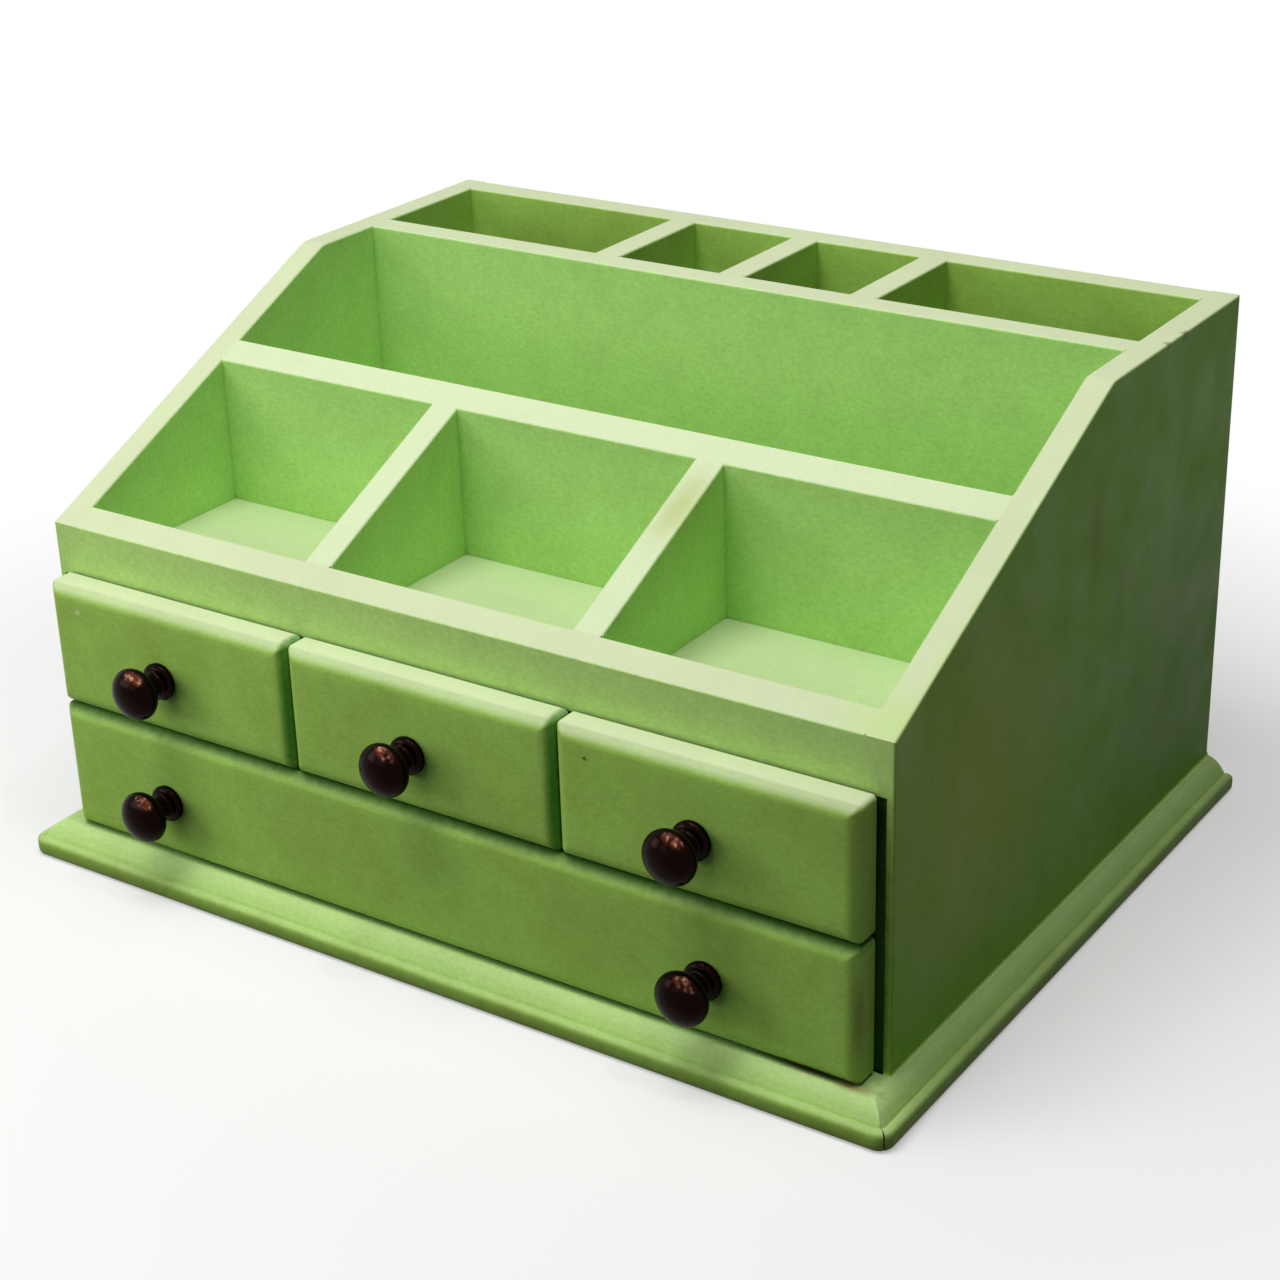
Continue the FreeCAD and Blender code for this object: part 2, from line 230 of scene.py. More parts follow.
def within(tree, low, high, ragged_mm):
    """1 inside a box of the frame and 0 outside, with a border ragged by that much."""
    place = add_node(tree, "ShaderNodeTexCoord").outputs["Object"]
    noise = add_node(tree, "ShaderNodeTexNoise", Vector=place,
                     Scale=1 / (border_wobble_mm * MM), Detail=3.0)
    shift = 2 * ragged_mm * MM
    wobble = add_node(tree, "ShaderNodeVectorMath", {"operation": "MULTIPLY_ADD"},
                      _0=noise.outputs["Color"], _1=[2 * shift] * 3, _2=[-shift] * 3)
    moved = add_node(tree, "ShaderNodeVectorMath", {"operation": "ADD"}, _0=place, _1=wobble)
    middle, half = (Vector(low) + Vector(high)) / 2, (Vector(high) - Vector(low)) / 2
    offset = add_node(tree, "ShaderNodeVectorMath", {"operation": "SUBTRACT"}, _0=moved, _1=middle)
    size = add_node(tree, "ShaderNodeVectorMath", {"operation": "ABSOLUTE"}, _0=offset)
    share = add_node(tree, "ShaderNodeVectorMath", {"operation": "DIVIDE"}, _0=size, _1=half)
    parts = add_node(tree, "ShaderNodeSeparateXYZ", Vector=share)
    larger = add_node(tree, "ShaderNodeMath", LARGER,
                      _0=parts.outputs["X"], _1=parts.outputs["Y"])
    largest = add_node(tree, "ShaderNodeMath", LARGER, _0=larger, _1=parts.outputs["Z"])
    return add_node(tree, "ShaderNodeMath", {"operation": "LESS_THAN"}, _0=largest, _1=1.0)


def by_height(tree, values):
    """A value that changes with height, from (height in mm, value) pairs."""
    place = add_node(tree, "ShaderNodeTexCoord").outputs["Object"]
    height = add_node(tree, "ShaderNodeSeparateXYZ", Vector=place).outputs["Z"]
    level = add_node(tree, "ShaderNodeMapRange", Value=height, From_Max=panel_high[2])
    stops = [(height_mm * MM / panel_high[2], value) for height_mm, value in values]
    return add_node(tree, "ShaderNodeValToRGB", {"stops": stops}, Fac=level)


def spot(tree, centre_mm, radii_mm, softness):
    """1 at a place of the chest, falling to 0 at the radii; softness is the fade's share."""
    broken_by = crisp_break if softness < soft_from else soft_break
    place = add_node(tree, "ShaderNodeTexCoord").outputs["Object"]
    offset = add_node(tree, "ShaderNodeVectorMath", {"operation": "SUBTRACT"},
                      _0=place, _1=Vector(centre_mm) * MM)
    share = add_node(tree, "ShaderNodeVectorMath", {"operation": "DIVIDE"},
                     _0=offset, _1=Vector(radii_mm) * MM)
    length = add_node(tree, "ShaderNodeVectorMath", {"operation": "LENGTH"}, _0=share).outputs["Value"]
    broken = add_node(tree, "ShaderNodeMath", {"operation": "MULTIPLY_ADD"},
                      _0=pattern(tree, min(radii_mm) * 0.7, detail=3), _1=broken_by, _2=length)
    rim = 1 + broken_by / 2
    return add_node(tree, "ShaderNodeMapRange", SMOOTH,
                    Value=broken, From_Min=rim - softness, From_Max=rim, To_Min=1.0, To_Max=0.0)


print("three masks: region, height and spot")

# %% [markdown]
# ## Bare pine
#
# The drawer boxes and the inside of the drawer bays were never painted. Pine shows
# growth rings, dark where the tree grew in late summer. Rings are cylinders around
# the tree's middle, so a ring texture whose axis lies beside the board gives long
# lines on its faces and arcs on its ends, as sawing does. Blender's ring texture has
# 20 rings in a length of 2 pi at a scale of 1, which is where the scale below comes
# from. Real fibres are too fine to show, so they are drawn 0.7 mm wide.

# %% Growth rings
ring_mm = 3.2
fibre_mm = 0.7
heart_beside_board = 55 * MM
straightness = 0.15


def pine_colour(tree, along):
    """Colour of planed pine with its length along an axis, and its fibre pattern."""
    ring_scale = 2 * math.pi / 20 / (ring_mm * MM)
    place = add_node(tree, "ShaderNodeTexCoord").outputs["Object"]
    away = [0.0 if axis == along else heart_beside_board for axis in "xyz"]
    stretch = [straightness if axis == along else 1.0 for axis in "xyz"]
    beside = add_node(tree, "ShaderNodeMapping", Vector=place, Location=away, Scale=stretch)
    rings = add_node(tree, "ShaderNodeTexWave",
                     {"wave_type": "RINGS", "rings_direction": along.upper(), "wave_profile": "SAW"},
                     Vector=beside, Scale=ring_scale, Distortion=5.0, Detail=2.0, Detail_Scale=0.15)
    year = [(0.0, "#E6C594"), (0.55, "#DDB780"), (0.9, "#BF8A4E"), (1.0, "#DDB780")]
    wood = add_node(tree, "ShaderNodeValToRGB", {"stops": year}, Fac=rings)
    fibres = pattern(tree, fibre_mm, along=along, times=40, detail=3)
    fine = add_node(tree, "ShaderNodeValToRGB",
                    {"stops": [(0.3, "#C8A070"), (0.6, "#FFFFFF")]}, Fac=fibres)
    both = add_node(tree, "ShaderNodeMix", TINTED, Factor=0.5, A=wood, B=fine)
    return both, fibres


def planed_pine(name, along):
    """Bare planed pine: soft sheen, fibres that can just be felt."""
    material, tree, shader = new_material(name, Roughness=0.62, IOR=1.5)
    colour, fibres = pine_colour(tree, along)
    bump = add_node(tree, "ShaderNodeBump", Height=fibres, Strength=0.35, Distance=0.12 * MM)
    fill_inputs(tree, shader, Base_Color=colour, Normal=bump)
    return material


pine = {axis: planed_pine("planed_pine_along_" + axis, axis) for axis in "xyz"}
print("pine in", len(pine), "directions")

# %% [markdown]
# ## Satin enamel, brushed on by hand
#
# The paint is the whole look of this object. It is an apple-green enamel, and some of
# it carries painted light and shade: the outsides of the side panels are painted darker,
# as shade, while the rail, the base's top and the trays are painted lighter, as light.
# What faces up is painted paler, as light and sheen from above. Edges are lighter,
# partly rubbed and partly a painted highlight, inside corners get a darker, greener
# painted shade, and in the narrow gap behind the drawer fronts a strip of shade is
# painted almost black. Inside the drawer bays the paint stops.
#
# One even green with some noise would look like plastic. So the paint is built up in
# layers, one cell each: the coat, the painted light and shade with the wear, and the
# relief and sheen.

# %% Paint colours and where they change
PAINT = "#ADDA65"
THIN_PAINT = "#A6CC5C"
# Lighter paint for the trays: painted light
TRAY_LIGHT_PAINT = "#BAEA84"
# Darker paint for the outsides of the side panels: painted shade
SIDE_SHADE_PAINT = "#8EC53F"
# Paler colours for what faces up: painted light and sheen, greyer on the deck
PAINTED_SHEEN = "#E2E2CD"
PAINTED_TRAY_SHEEN = "#C6BFB0"
# Lighter edges: partly rubbed, partly a painted highlight
RUBBED_AND_LIT_EDGE = "#D9E8AE"
# Darker, greener colour for inside corners: painted shade
CORNER_SHADE = "#5F9A3C"
# Lighter paint for the rail and the base's top: painted light
PAINTED_LIGHT = "#CBF491"
# Near black for narrow gaps and the strip beside the drawers: painted shade
GAP_SHADE = "#101C0A"

hair = 0.4 * MM
bay_paint_depth = 9 * MM
# The strip of painted shade on the front stiles beside the drawers
gap_shade_past_bay = 8.3 * MM
gap_shade_below_deck = 1.5 * MM
gap_shade_box = ((-inner_half - gap_shade_past_bay, carcass_front - hair, base_top),
                 (inner_half + gap_shade_past_bay, carcass_front + hair,
                  deck_high[2] - gap_shade_below_deck))
front_plane = ((-half_width - hair, carcass_front - hair, 0.0),
               (half_width + hair, carcass_front + hair, 1.0))
deck_top = ((-inner_half - hair, deck_low[1] - hair, deck_high[2] - hair),
            (inner_half + hair, deck_high[1] + hair, deck_high[2] + hair))
bay_box = ((-inner_half - hair, carcass_front + bay_paint_depth, base_top - hair),
           (inner_half + hair, deck_high[1] + hair, deck_low[2] + hair))
tray_box = ((-inner_half - hair, deck_low[1] - hair, deck_high[2] - hair),
            (inner_half + hair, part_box("rear_partition")[0][1] + hair, 1.0))

# Heights in mm with the share of each paint: the darker one on the side panels, which is
# painted shade, and the lighter one, painted light, on the base's top and hollow but not
# on its bead, and on the rail
panel_foot = base_top / MM + 0.5
side_shade_by_height = [(panel_foot - 0.1, 0.0), (panel_foot + 0.1, 1.0)]
lit_base_by_height = [(7.0, 0.0), (9.0, 0.55), (panel_foot - 0.1, 0.55), (panel_foot + 0.1, 0.0)]
lit_rail_by_height = [(85.0, 0.0), (122.0, 0.8)]
# Share of the painted light and sheen on upward faces, by height, and on the deck
sheen_by_height = [(70.9, 0.2), (93.8, 0.6), (129.3, 0.64)]
sheen_on_deck = 0.78
# That strip is painted shade
print("unreached strip:", round(gap_shade_past_bay / MM, 1), "mm past the bays")

# %% [markdown]
# ## Marks of wear, painted shade and light
#
# These are the single marks. Each one names the finish that it is in (brush lines along
# x, y or z, the small drawers' fronts or the wide one), its centre and radii in mm, its
# colour, its strength and how softly it fades. Scuffs, streaks, chips, dents and specks
# are wear. Painted shadow, shade and light lie under and beside the drawers, in the gaps
# between them, beside each knob, on the side panel and at the rail's end. They could be
# painted on, but a list of places is easier to read and to change.

# %% Marks of wear, painted shade and painted light
marks_of_wear_and_light = {
    # Painted shadow on the base along the foot of the wide drawer
    "shadow_on_base": ("x", (160, -127.4, 13.5), (34, 3.6, 3), "#2C2A12", 0.85, 1.0),
    # Darker towards the bottom, up to about 9 mm high
    "darker_towards_the_bottom": ("x", (0, 0, 0), (2000, 2000, 9), "#5C6A2C", 0.6, 1.0),
    # Painted light at the rail's right end and at the foot of the slope beside it
    "painted_light_at_rail_end": ("x", (178, -112, 138), (30, 14, 14), "#BFDD86", 0.6, 1.0),
    "painted_light_at_slope_foot": ("z", (178, -112, 138), (30, 22, 22), "#BFDD86", 0.6, 1.0),
    "scuff_on_base": ("x", (175, -129.4, 13.5), (11, 3.0, 3), "#8A4A22", 0.6, 1.0),
    "scuff_under_wide_drawer": ("wide", (160, -129, 15.4), (26, 5, 2.4), "#5A2E18", 0.75, 1.0),
    # Painted shadow on the wide drawer's top bevel, under the small drawers
    "shadow_under_small_drawers": ("wide", (0, -129, 67.0), (2000, 60, 4.6), "#356E1E", 0.85, 1.0),
    # Painted shade on the small drawers' right bevels in the gaps
    "shade_in_left_gap": ("small", (-60.6, -129, 92), (3.2, 60, 90), "#2F7A22", 0.9, 1.0),
    "shade_in_right_gap": ("small", (57.8, -129, 92), (3.2, 60, 90), "#2F7A22", 0.9, 1.0),
    # Painted shadow on the right stile beside the drawers
    "shadow_beside_drawers": ("z", (177, -117.5, 50), (7, 5, 90), "#2A561A", 1.0, 1.0),
    "yellowed_divider": ("y", (60, -50, 168), (10, 28, 28), "#A8B45C", 0.55, 1.0),
    # Painted light high on the side panel and painted shade low at its back
    "lit_upper_side": ("z", (182.8, -60, 95), (6, 90, 90), "#B4CC56", 0.75, 1.0),
    "shaded_lower_side": ("z", (182.8, 130, 60), (6, 130, 120), "#4C7420", 0.6, 1.0),
    "streak_on_side": ("z", (182.8, 29, 158), (4, 9, 30), "#7E5A2C", 0.45, 1.2),
    "second_streak": ("z", (182.8, 52, 120), (4, 9, 40), "#6A5A2C", 0.3, 1.2),
    "dent_on_slope": ("z", (182.8, -89, 163), (3, 1.6, 2.2), "#3A2A14", 0.9, 0.5),
    "chip_at_rear_edge": ("z", (182.8, 98.5, 207), (3, 3.4, 2.2), "#4A3418", 0.6, 0.4),
    "second_chip": ("z", (182.8, 84, 208), (3, 2.2, 1.6), "#4A3418", 0.5, 0.4),
    "scuff_on_wide_drawer": ("wide", (176.5, -128, 40), (3, 4, 22), "#7A6030", 0.45, 1.0),
    "dents_on_right_drawer": ("small", (73, -128.5, 108.5), (2.6, 3, 1.3), "#2E3014", 0.9, 0.5),
    "pale_speck": ("small", (-162, -130.5, 108.7), (1.6, 2, 1.4), "#E6EBC8", 0.5, 0.5),
}

# Each knob's shadow is painted beside and below it
shadow_right_mm, shadow_down_mm = 5, 2
for knob in knobs:
    low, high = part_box(knob)
    finish = "wide" if knob.startswith("wide") else "small"
    centre = ((low[0] + high[0]) / 2 / MM + shadow_right_mm, high[1] / MM,
              (low[2] + high[2]) / 2 / MM - shadow_down_mm)
    marks_of_wear_and_light["grime_by_" + knob] = (finish, centre, (10, 6, 8.5), "#35601E", 0.75, 1.0)
# The count holds marks of wear and of painted shade and light
print("wear marks:", len(marks_of_wear_and_light))

# %% [markdown]
# ## The coat
#
# Broad patches show where the coat is thinner. Then come a lighter paint in the trays,
# a darker one on the outsides of the side panels and a lighter one on the rail and the
# base's top, which are painted light and shade, and last a fine mottle of brush lines
# and some clouds, both only slightly darker than the paint. Bristles leave lines finer
# than a pixel of the picture, so the mottle here and the brush lines in the relief are
# drawn about 1 mm wide, as coarse as they need to be to show.

# %% The coat
thin_patch_mm = 38
cloud_mm = 13
mottle_mm = 1.3


def coat_colour(tree, along):
    """Paint in patches of thickness, painted shade on the sides, painted light on rail, base and trays.
    """
    thickness = add_node(tree, "ShaderNodeValToRGB", {"stops": [(0.36, THIN_PAINT), (0.6, PAINT)]},
                         Fac=pattern(tree, thin_patch_mm, detail=4, roughness=0.6))
    in_tray = within(tree, *tray_box, 0.0)
    # Painted light: the trays get a lighter paint
    tray_lit = add_node(tree, "ShaderNodeMix", RGBA, Factor=in_tray, A=thickness, B=TRAY_LIGHT_PAINT)

    # Painted shade: the outsides of the side panels are darker
    place = add_node(tree, "ShaderNodeTexCoord").outputs["Object"]
    sideways = add_node(tree, "ShaderNodeSeparateXYZ", Vector=place).outputs["X"]
    across = add_node(tree, "ShaderNodeMath", {"operation": "ABSOLUTE"}, _0=sideways)
    at_side = add_node(tree, "ShaderNodeMath", {"operation": "COMPARE"},
                       _0=across, _1=half_width, _2=hair)
    outside = add_node(tree, "ShaderNodeMath", TIMES,
                       _0=at_side, _1=by_height(tree, side_shade_by_height))
    sides_shaded = add_node(tree, "ShaderNodeMix", RGBA, Factor=outside, A=tray_lit, B=SIDE_SHADE_PAINT)

    # Painted light on the rail and on the base's top and hollow
    on_rail = add_node(tree, "ShaderNodeMath", TIMES,
                       _0=by_height(tree, lit_rail_by_height), _1=within(tree, *front_plane, 0.0))
    brighter = add_node(tree, "ShaderNodeMath", LARGER,
                     _0=on_rail, _1=by_height(tree, lit_base_by_height))
    with_painted_light = add_node(tree, "ShaderNodeMix", RGBA, Factor=brighter, A=sides_shaded, B=PAINTED_LIGHT)

    mottle = add_node(tree, "ShaderNodeValToRGB", {"stops": [(0.3, 0.84), (0.7, 1.0)]},
                      Fac=pattern(tree, mottle_mm, along=along, times=1.6, detail=3, roughness=0.7))
    cloud = add_node(tree, "ShaderNodeValToRGB", {"stops": [(0.3, 0.93), (0.7, 1.0)]},
                     Fac=pattern(tree, cloud_mm, detail=3, seed=1.0))
    mottled = add_node(tree, "ShaderNodeMix", TINTED, Factor=1.0, A=with_painted_light, B=mottle)
    return add_node(tree, "ShaderNodeMix", TINTED, Factor=1.0, A=mottled, B=cloud)


# The lighter coat on the rail is painted light
print("fresh coat on the rail up to", lit_rail_by_height[-1][0], "mm")

# %% [markdown]
# ## Painted light and shade, and wear
#
# Three functions each take a colour and give it back changed. The first paints light
# and sheen onto what faces up, more so near the top and less in the trays. The second
# uses ambient occlusion, which measures how closed in a point is: looking out it finds
# inside corners and gaps, where it paints shade, and looking into the wood it finds
# edges, which it paints lighter, partly as rubbing and partly as a highlight.
# Pointiness finds edges too, but only on dense meshes, and a board has few points. The
# third adds the single marks, of wear and of painted shade and light.

# %% Painted light from above, lighter edges, painted shade in corners and gaps, marks
edge_width = 1.6 * MM
edge_patch_mm = 9
corner_reach = 4 * MM


def lit_from_above(tree, colour):
    """Painted light and sheen, paler where it faces up."""
    normal = add_node(tree, "ShaderNodeNewGeometry").outputs["Normal"]
    upward = add_node(tree, "ShaderNodeSeparateXYZ", Vector=normal).outputs["Z"]
    facing = add_node(tree, "ShaderNodeMapRange", Value=upward, From_Min=0.3, From_Max=0.9)
    lit_upward = add_node(tree, "ShaderNodeMath", TIMES,
                       _0=facing, _1=by_height(tree, sheen_by_height))
    on_deck = within(tree, *deck_top, 0.0)
    less = add_node(tree, "ShaderNodeMapRange", Value=on_deck, To_Min=1.0, To_Max=sheen_on_deck)
    sheen_share = add_node(tree, "ShaderNodeMath", TIMES, _0=lit_upward, _1=less)
    sheen_colour = add_node(tree, "ShaderNodeMix", RGBA, Factor=on_deck, A=PAINTED_SHEEN, B=PAINTED_TRAY_SHEEN)
    return add_node(tree, "ShaderNodeMix", RGBA, Factor=sheen_share, A=colour, B=sheen_colour)


def edged(tree, colour, edge_wear_and_light):
    """Lighter edges, partly rubbed and partly a painted highlight; painted shade in corners and gaps."""
    inside_out = add_node(tree, "ShaderNodeAmbientOcclusion", {"samples": 4, "inside": True},
                          Distance=edge_width)
    # Edges lighter: partly rubbed, partly a painted highlight
    edge = add_node(tree, "ShaderNodeMapRange", Value=inside_out.outputs["AO"],
                    From_Min=0.75, From_Max=0.4, To_Max=edge_wear_and_light)
    lightened = add_node(tree, "ShaderNodeMath", TIMES,
                    _0=edge, _1=pattern(tree, edge_patch_mm, detail=4, roughness=0.7, seed=2.0))
    lightened_part = add_node(tree, "ShaderNodeMix", RGBA, Factor=lightened, A=colour, B=RUBBED_AND_LIT_EDGE)

    # Painted shade: darker and greener in inside corners
    nook = add_node(tree, "ShaderNodeAmbientOcclusion", {"samples": 4}, Distance=corner_reach)
    corner = add_node(tree, "ShaderNodeMapRange", Value=nook.outputs["AO"],
                      From_Min=0.5, From_Max=0.1, To_Max=0.6)
    corner_shaded = add_node(tree, "ShaderNodeMix", RGBA, Factor=corner, A=lightened_part, B=CORNER_SHADE)
    # Painted shade: almost black in narrow gaps and in the strip beside the drawers
    gap = add_node(tree, "ShaderNodeMapRange", Value=nook.outputs["AO"],
                   From_Min=0.22, From_Max=0.06, To_Max=0.9)
    painted_shade = add_node(tree, "ShaderNodeMath", LARGER,
                         _0=gap, _1=within(tree, *gap_shade_box, 0.1))
    return add_node(tree, "ShaderNodeMix", RGBA, Factor=painted_shade, A=corner_shaded, B=GAP_SHADE)


def marked(tree, colour, marks):
    """With each mark, of wear or of painted shade and light, that belongs to one finish."""
    for finish, centre, radii, mark_colour, strength, softness in marks_of_wear_and_light.values():
        if finish == marks:
            amount = add_node(tree, "ShaderNodeMath", TIMES,
                              _0=spot(tree, centre, radii, softness), _1=strength)
            colour = add_node(tree, "ShaderNodeMix", RGBA, Factor=amount, A=colour, B=mark_colour)
    return colour


# Edges are lighter, partly rubbed and partly a painted highlight
print("edges are rubbed", round(edge_width / MM, 1), "mm wide")

# %% [markdown]
# ## The whole enamel
#
# The relief has three sizes: brush lines, the orange peel of paint that levelled as it
# dried, and boards that were never quite flat. None is deep enough to change an
# outline, so all three are bump. The sheen is satin, and dull where the wood is bare.
# One material is made for brush lines along each axis, and others for the drawer fronts
# and the mouldings, because their edges are lighter, partly rubbed and partly a painted
# highlight.

# %% Satin enamel
brush_line_mm = 0.8
peel_mm = 1.5
board_wave_mm = 30
sheen_patch_mm = 22
paint_end_ragged_mm = 1.6
bare_roughness = 0.65


def brush_relief(tree, along):
    """Bumps for brush lines, orange peel and uneven boards."""
    strokes = pattern(tree, brush_line_mm, along=along, times=30, detail=2)
    lines = add_node(tree, "ShaderNodeBump", Height=strokes, Strength=0.30, Distance=0.12 * MM)
    dimples = pattern(tree, peel_mm, detail=2, seed=3.0)
    peel = add_node(tree, "ShaderNodeBump", Height=dimples, Strength=0.30, Distance=0.16 * MM,
                    Normal=lines)
    waves = pattern(tree, board_wave_mm, detail=1, seed=4.0)
    return add_node(tree, "ShaderNodeBump", Height=waves, Strength=0.6, Distance=0.6 * MM, Normal=peel)


def brushed_enamel(name, along, marks, edge_wear_and_light=0.0):
    """Satin enamel over pine, brushed along an axis, with painted light and shade and lighter edges."""
    material, tree, shader = new_material(name, Specular_IOR_Level=0.07)
    painted = edged(tree, lit_from_above(tree, coat_colour(tree, along)), edge_wear_and_light)
    bare = within(tree, *bay_box, paint_end_ragged_mm)
    wood, _ = pine_colour(tree, along)
    seen = add_node(tree, "ShaderNodeMix", RGBA,
                    Factor=bare, A=marked(tree, painted, marks), B=wood)
    sheen = pattern(tree, sheen_patch_mm, detail=3, seed=5.0)
    satin = add_node(tree, "ShaderNodeMapRange", Value=sheen,
                     From_Min=0.3, From_Max=0.7, To_Min=0.40, To_Max=0.54)
    bare_dull = add_node(tree, "ShaderNodeMath", TIMES, _0=bare, _1=bare_roughness)
    roughness = add_node(tree, "ShaderNodeMath", LARGER, _0=satin, _1=bare_dull)
    fill_inputs(tree, shader, Base_Color=seen, Roughness=roughness, Normal=brush_relief(tree, along))
    return material


enamel = {axis: brushed_enamel("satin_enamel_brushed_along_" + axis, axis, axis) for axis in "xyz"}
small_front_enamel = brushed_enamel("satin_enamel_on_small_drawer_fronts", "x", "small", edge_wear_and_light=0.6)
wide_front_enamel = brushed_enamel("satin_enamel_on_wide_drawer_front", "x", "wide", edge_wear_and_light=0.6)
front_enamel = {"left_drawer": small_front_enamel, "middle_drawer": small_front_enamel,
                "right_drawer": small_front_enamel, "wide_drawer": wide_front_enamel}
edge_enamel = brushed_enamel("satin_enamel_on_mouldings", "x", "x", edge_wear_and_light=0.5)
print("enamel:", sorted(m.name for m in enamel.values()))

# %% [markdown]
# ## Stained, lacquered knobs and plated screws
#
# The knobs are turned beech, stained almost black and lacquered. The stain tints what
# they reflect, and the lacquer's small waves break the highlight up. On each head, in
# front and above, a highlight is painted too: reddish with paler streaks. The screws
# behind them are zinc-plated steel, brushed by handling. Beech pores and the screws'
# scratches are too fine to show, so they are drawn 0.9 mm and 0.3 mm wide.

# %% Lacquer and steel
STAIN = "#030101"
LIGHTER_STAIN = "#0A0402"
# Colours of the painted highlight on the knobs' heads
HIGHLIGHT_RED = "#7A3424"
HIGHLIGHT_CREAM = "#F0C4A0"
ZINC = "#C4C4BE"

pore_mm = 0.9
lacquer_wave_mm = 2.2
# Sizes of the painted highlight's patches and streaks
highlight_patch_mm = 3.6
highlight_streak_mm = 1.3
scratch_mm = 0.3
heads_from = carcass_front - 20.5 * MM
heads_to = carcass_front - 22.5 * MM
# Direction that the painted highlight faces on each head
highlight_side = (0.27, -0.59, 0.76)


def lacquered_beech(name):
    """Beech stained almost black, with a painted highlight on the knobs' heads."""
    material, tree, shader = new_material(
        name, Roughness=0.16, Specular_IOR_Level=0.05, Specular_Tint="#FF8B6C",
        Coat_Weight=0.03, Coat_Roughness=0.05)
    grain = add_node(tree, "ShaderNodeValToRGB", {"stops": [(0.35, STAIN), (0.65, LIGHTER_STAIN)]},
                     Fac=pattern(tree, pore_mm, along="y", times=12, detail=3))

    place = add_node(tree, "ShaderNodeTexCoord").outputs["Object"]
    depth = add_node(tree, "ShaderNodeSeparateXYZ", Vector=place).outputs["Y"]
    on_head = add_node(tree, "ShaderNodeMapRange", Value=depth, From_Min=heads_from, From_Max=heads_to)
    normal = add_node(tree, "ShaderNodeNewGeometry").outputs["Normal"]
    towards = add_node(tree, "ShaderNodeVectorMath", {"operation": "DOT_PRODUCT"},
                       _0=normal, _1=highlight_side).outputs["Value"]
    # Painted highlight: reddish patches with paler streaks where the head faces that way
    highlight_zone = add_node(tree, "ShaderNodeMapRange", SMOOTH,
                    Value=towards, From_Min=0.9, From_Max=0.98, To_Max=on_head)
    patches = add_node(tree, "ShaderNodeMapRange", From_Min=0.34, From_Max=0.68,
                       Value=pattern(tree, highlight_patch_mm, detail=3, roughness=0.6))
    lightened_part = add_node(tree, "ShaderNodeMath", TIMES, _0=highlight_zone, _1=patches)
    highlight_streaks = add_node(tree, "ShaderNodeMapRange", From_Min=0.5, From_Max=0.72,
                       Value=pattern(tree, highlight_streak_mm, along="z", times=2.5, detail=3, seed=6.0))
    cream_share = add_node(tree, "ShaderNodeMath", TIMES, _0=lightened_part, _1=highlight_streaks)
    red_highlight = add_node(tree, "ShaderNodeMix", RGBA, Factor=lightened_part, A=grain, B=HIGHLIGHT_RED)
    lightened = add_node(tree, "ShaderNodeMix", RGBA, Factor=cream_share, A=red_highlight, B=HIGHLIGHT_CREAM)
    waves = add_node(tree, "ShaderNodeBump", Strength=0.35, Distance=0.25 * MM,
                     Height=pattern(tree, lacquer_wave_mm, detail=3, roughness=0.6))
    fill_inputs(tree, shader, Base_Color=lightened, Normal=waves, Coat_Normal=waves)
    return material


def plated_steel(name):
    """Zinc-plated steel with fine scratches."""
    material, tree, shader = new_material(name, Base_Color=ZINC, Metallic=1.0)
    scratches = add_node(tree, "ShaderNodeMapRange", To_Min=0.25, To_Max=0.5,
                         Value=pattern(tree, scratch_mm, along="x", times=8))
    fill_inputs(tree, shader, Roughness=scratches)
    return material


lacquer = lacquered_beech("stained_lacquered_beech")
steel = plated_steel("zinc_plated_steel")
print("lacquer and steel ready")

# %% [markdown]
# ## Softened outlines and lofted meshes
#
# The pieces below are all made in the same way: a section with softened corners is
# repeated at several stations, and a skin is stretched over the stations. A Bevel
# modifier could soften a plain block, but each corner here has its own softness,
# which is easier to give in a section. One function softens a corner with a small
# curve, one rounds the corners of a rectangle, and one makes the skin.

# %% Outline and skin helpers
weld_distance = 0.002 * MM
sharp_from = math.radians(50)


def soften(points, steps=5):
    """Outline of (a, b, reach) points, each corner curved from reach before to reach after."""
    outline = []
    for i, (a, b, reach) in enumerate(points):
        corner = Vector((a, b))
        if reach == 0 or i in (0, len(points) - 1):
            outline.append(corner)
            continue
        before = Vector(points[i - 1][:2]) - corner
        after = Vector(points[i + 1][:2]) - corner
        start = corner + before.normalized() * min(reach, before.length / 2)
        end = corner + after.normalized() * min(reach, after.length / 2)
        for k in range(steps + 1):
            t = k / steps
            outline.append(start.lerp(corner, t).lerp(corner.lerp(end, t), t))
    return outline


def rounded_rectangle(x_range, z_range, inset, radius, steps=6):
    """Points (x, z) round a rectangle drawn in by inset, with rounded corners."""
    corners = [(x_range[1], z_range[1], 0), (x_range[0], z_range[1], 90),
               (x_range[0], z_range[0], 180), (x_range[1], z_range[0], 270)]
    middle_x, middle_z = sum(x_range) / 2, sum(z_range) / 2
    points = []
    for corner_x, corner_z, start in corners:
        hub_x = corner_x - math.copysign(inset + radius, corner_x - middle_x)
        hub_z = corner_z - math.copysign(inset + radius, corner_z - middle_z)
        for k in range(steps + 1):
            angle = math.radians(start + 90 * k / steps)
            points.append((hub_x + radius * math.cos(angle), hub_z + radius * math.sin(angle)))
    return points


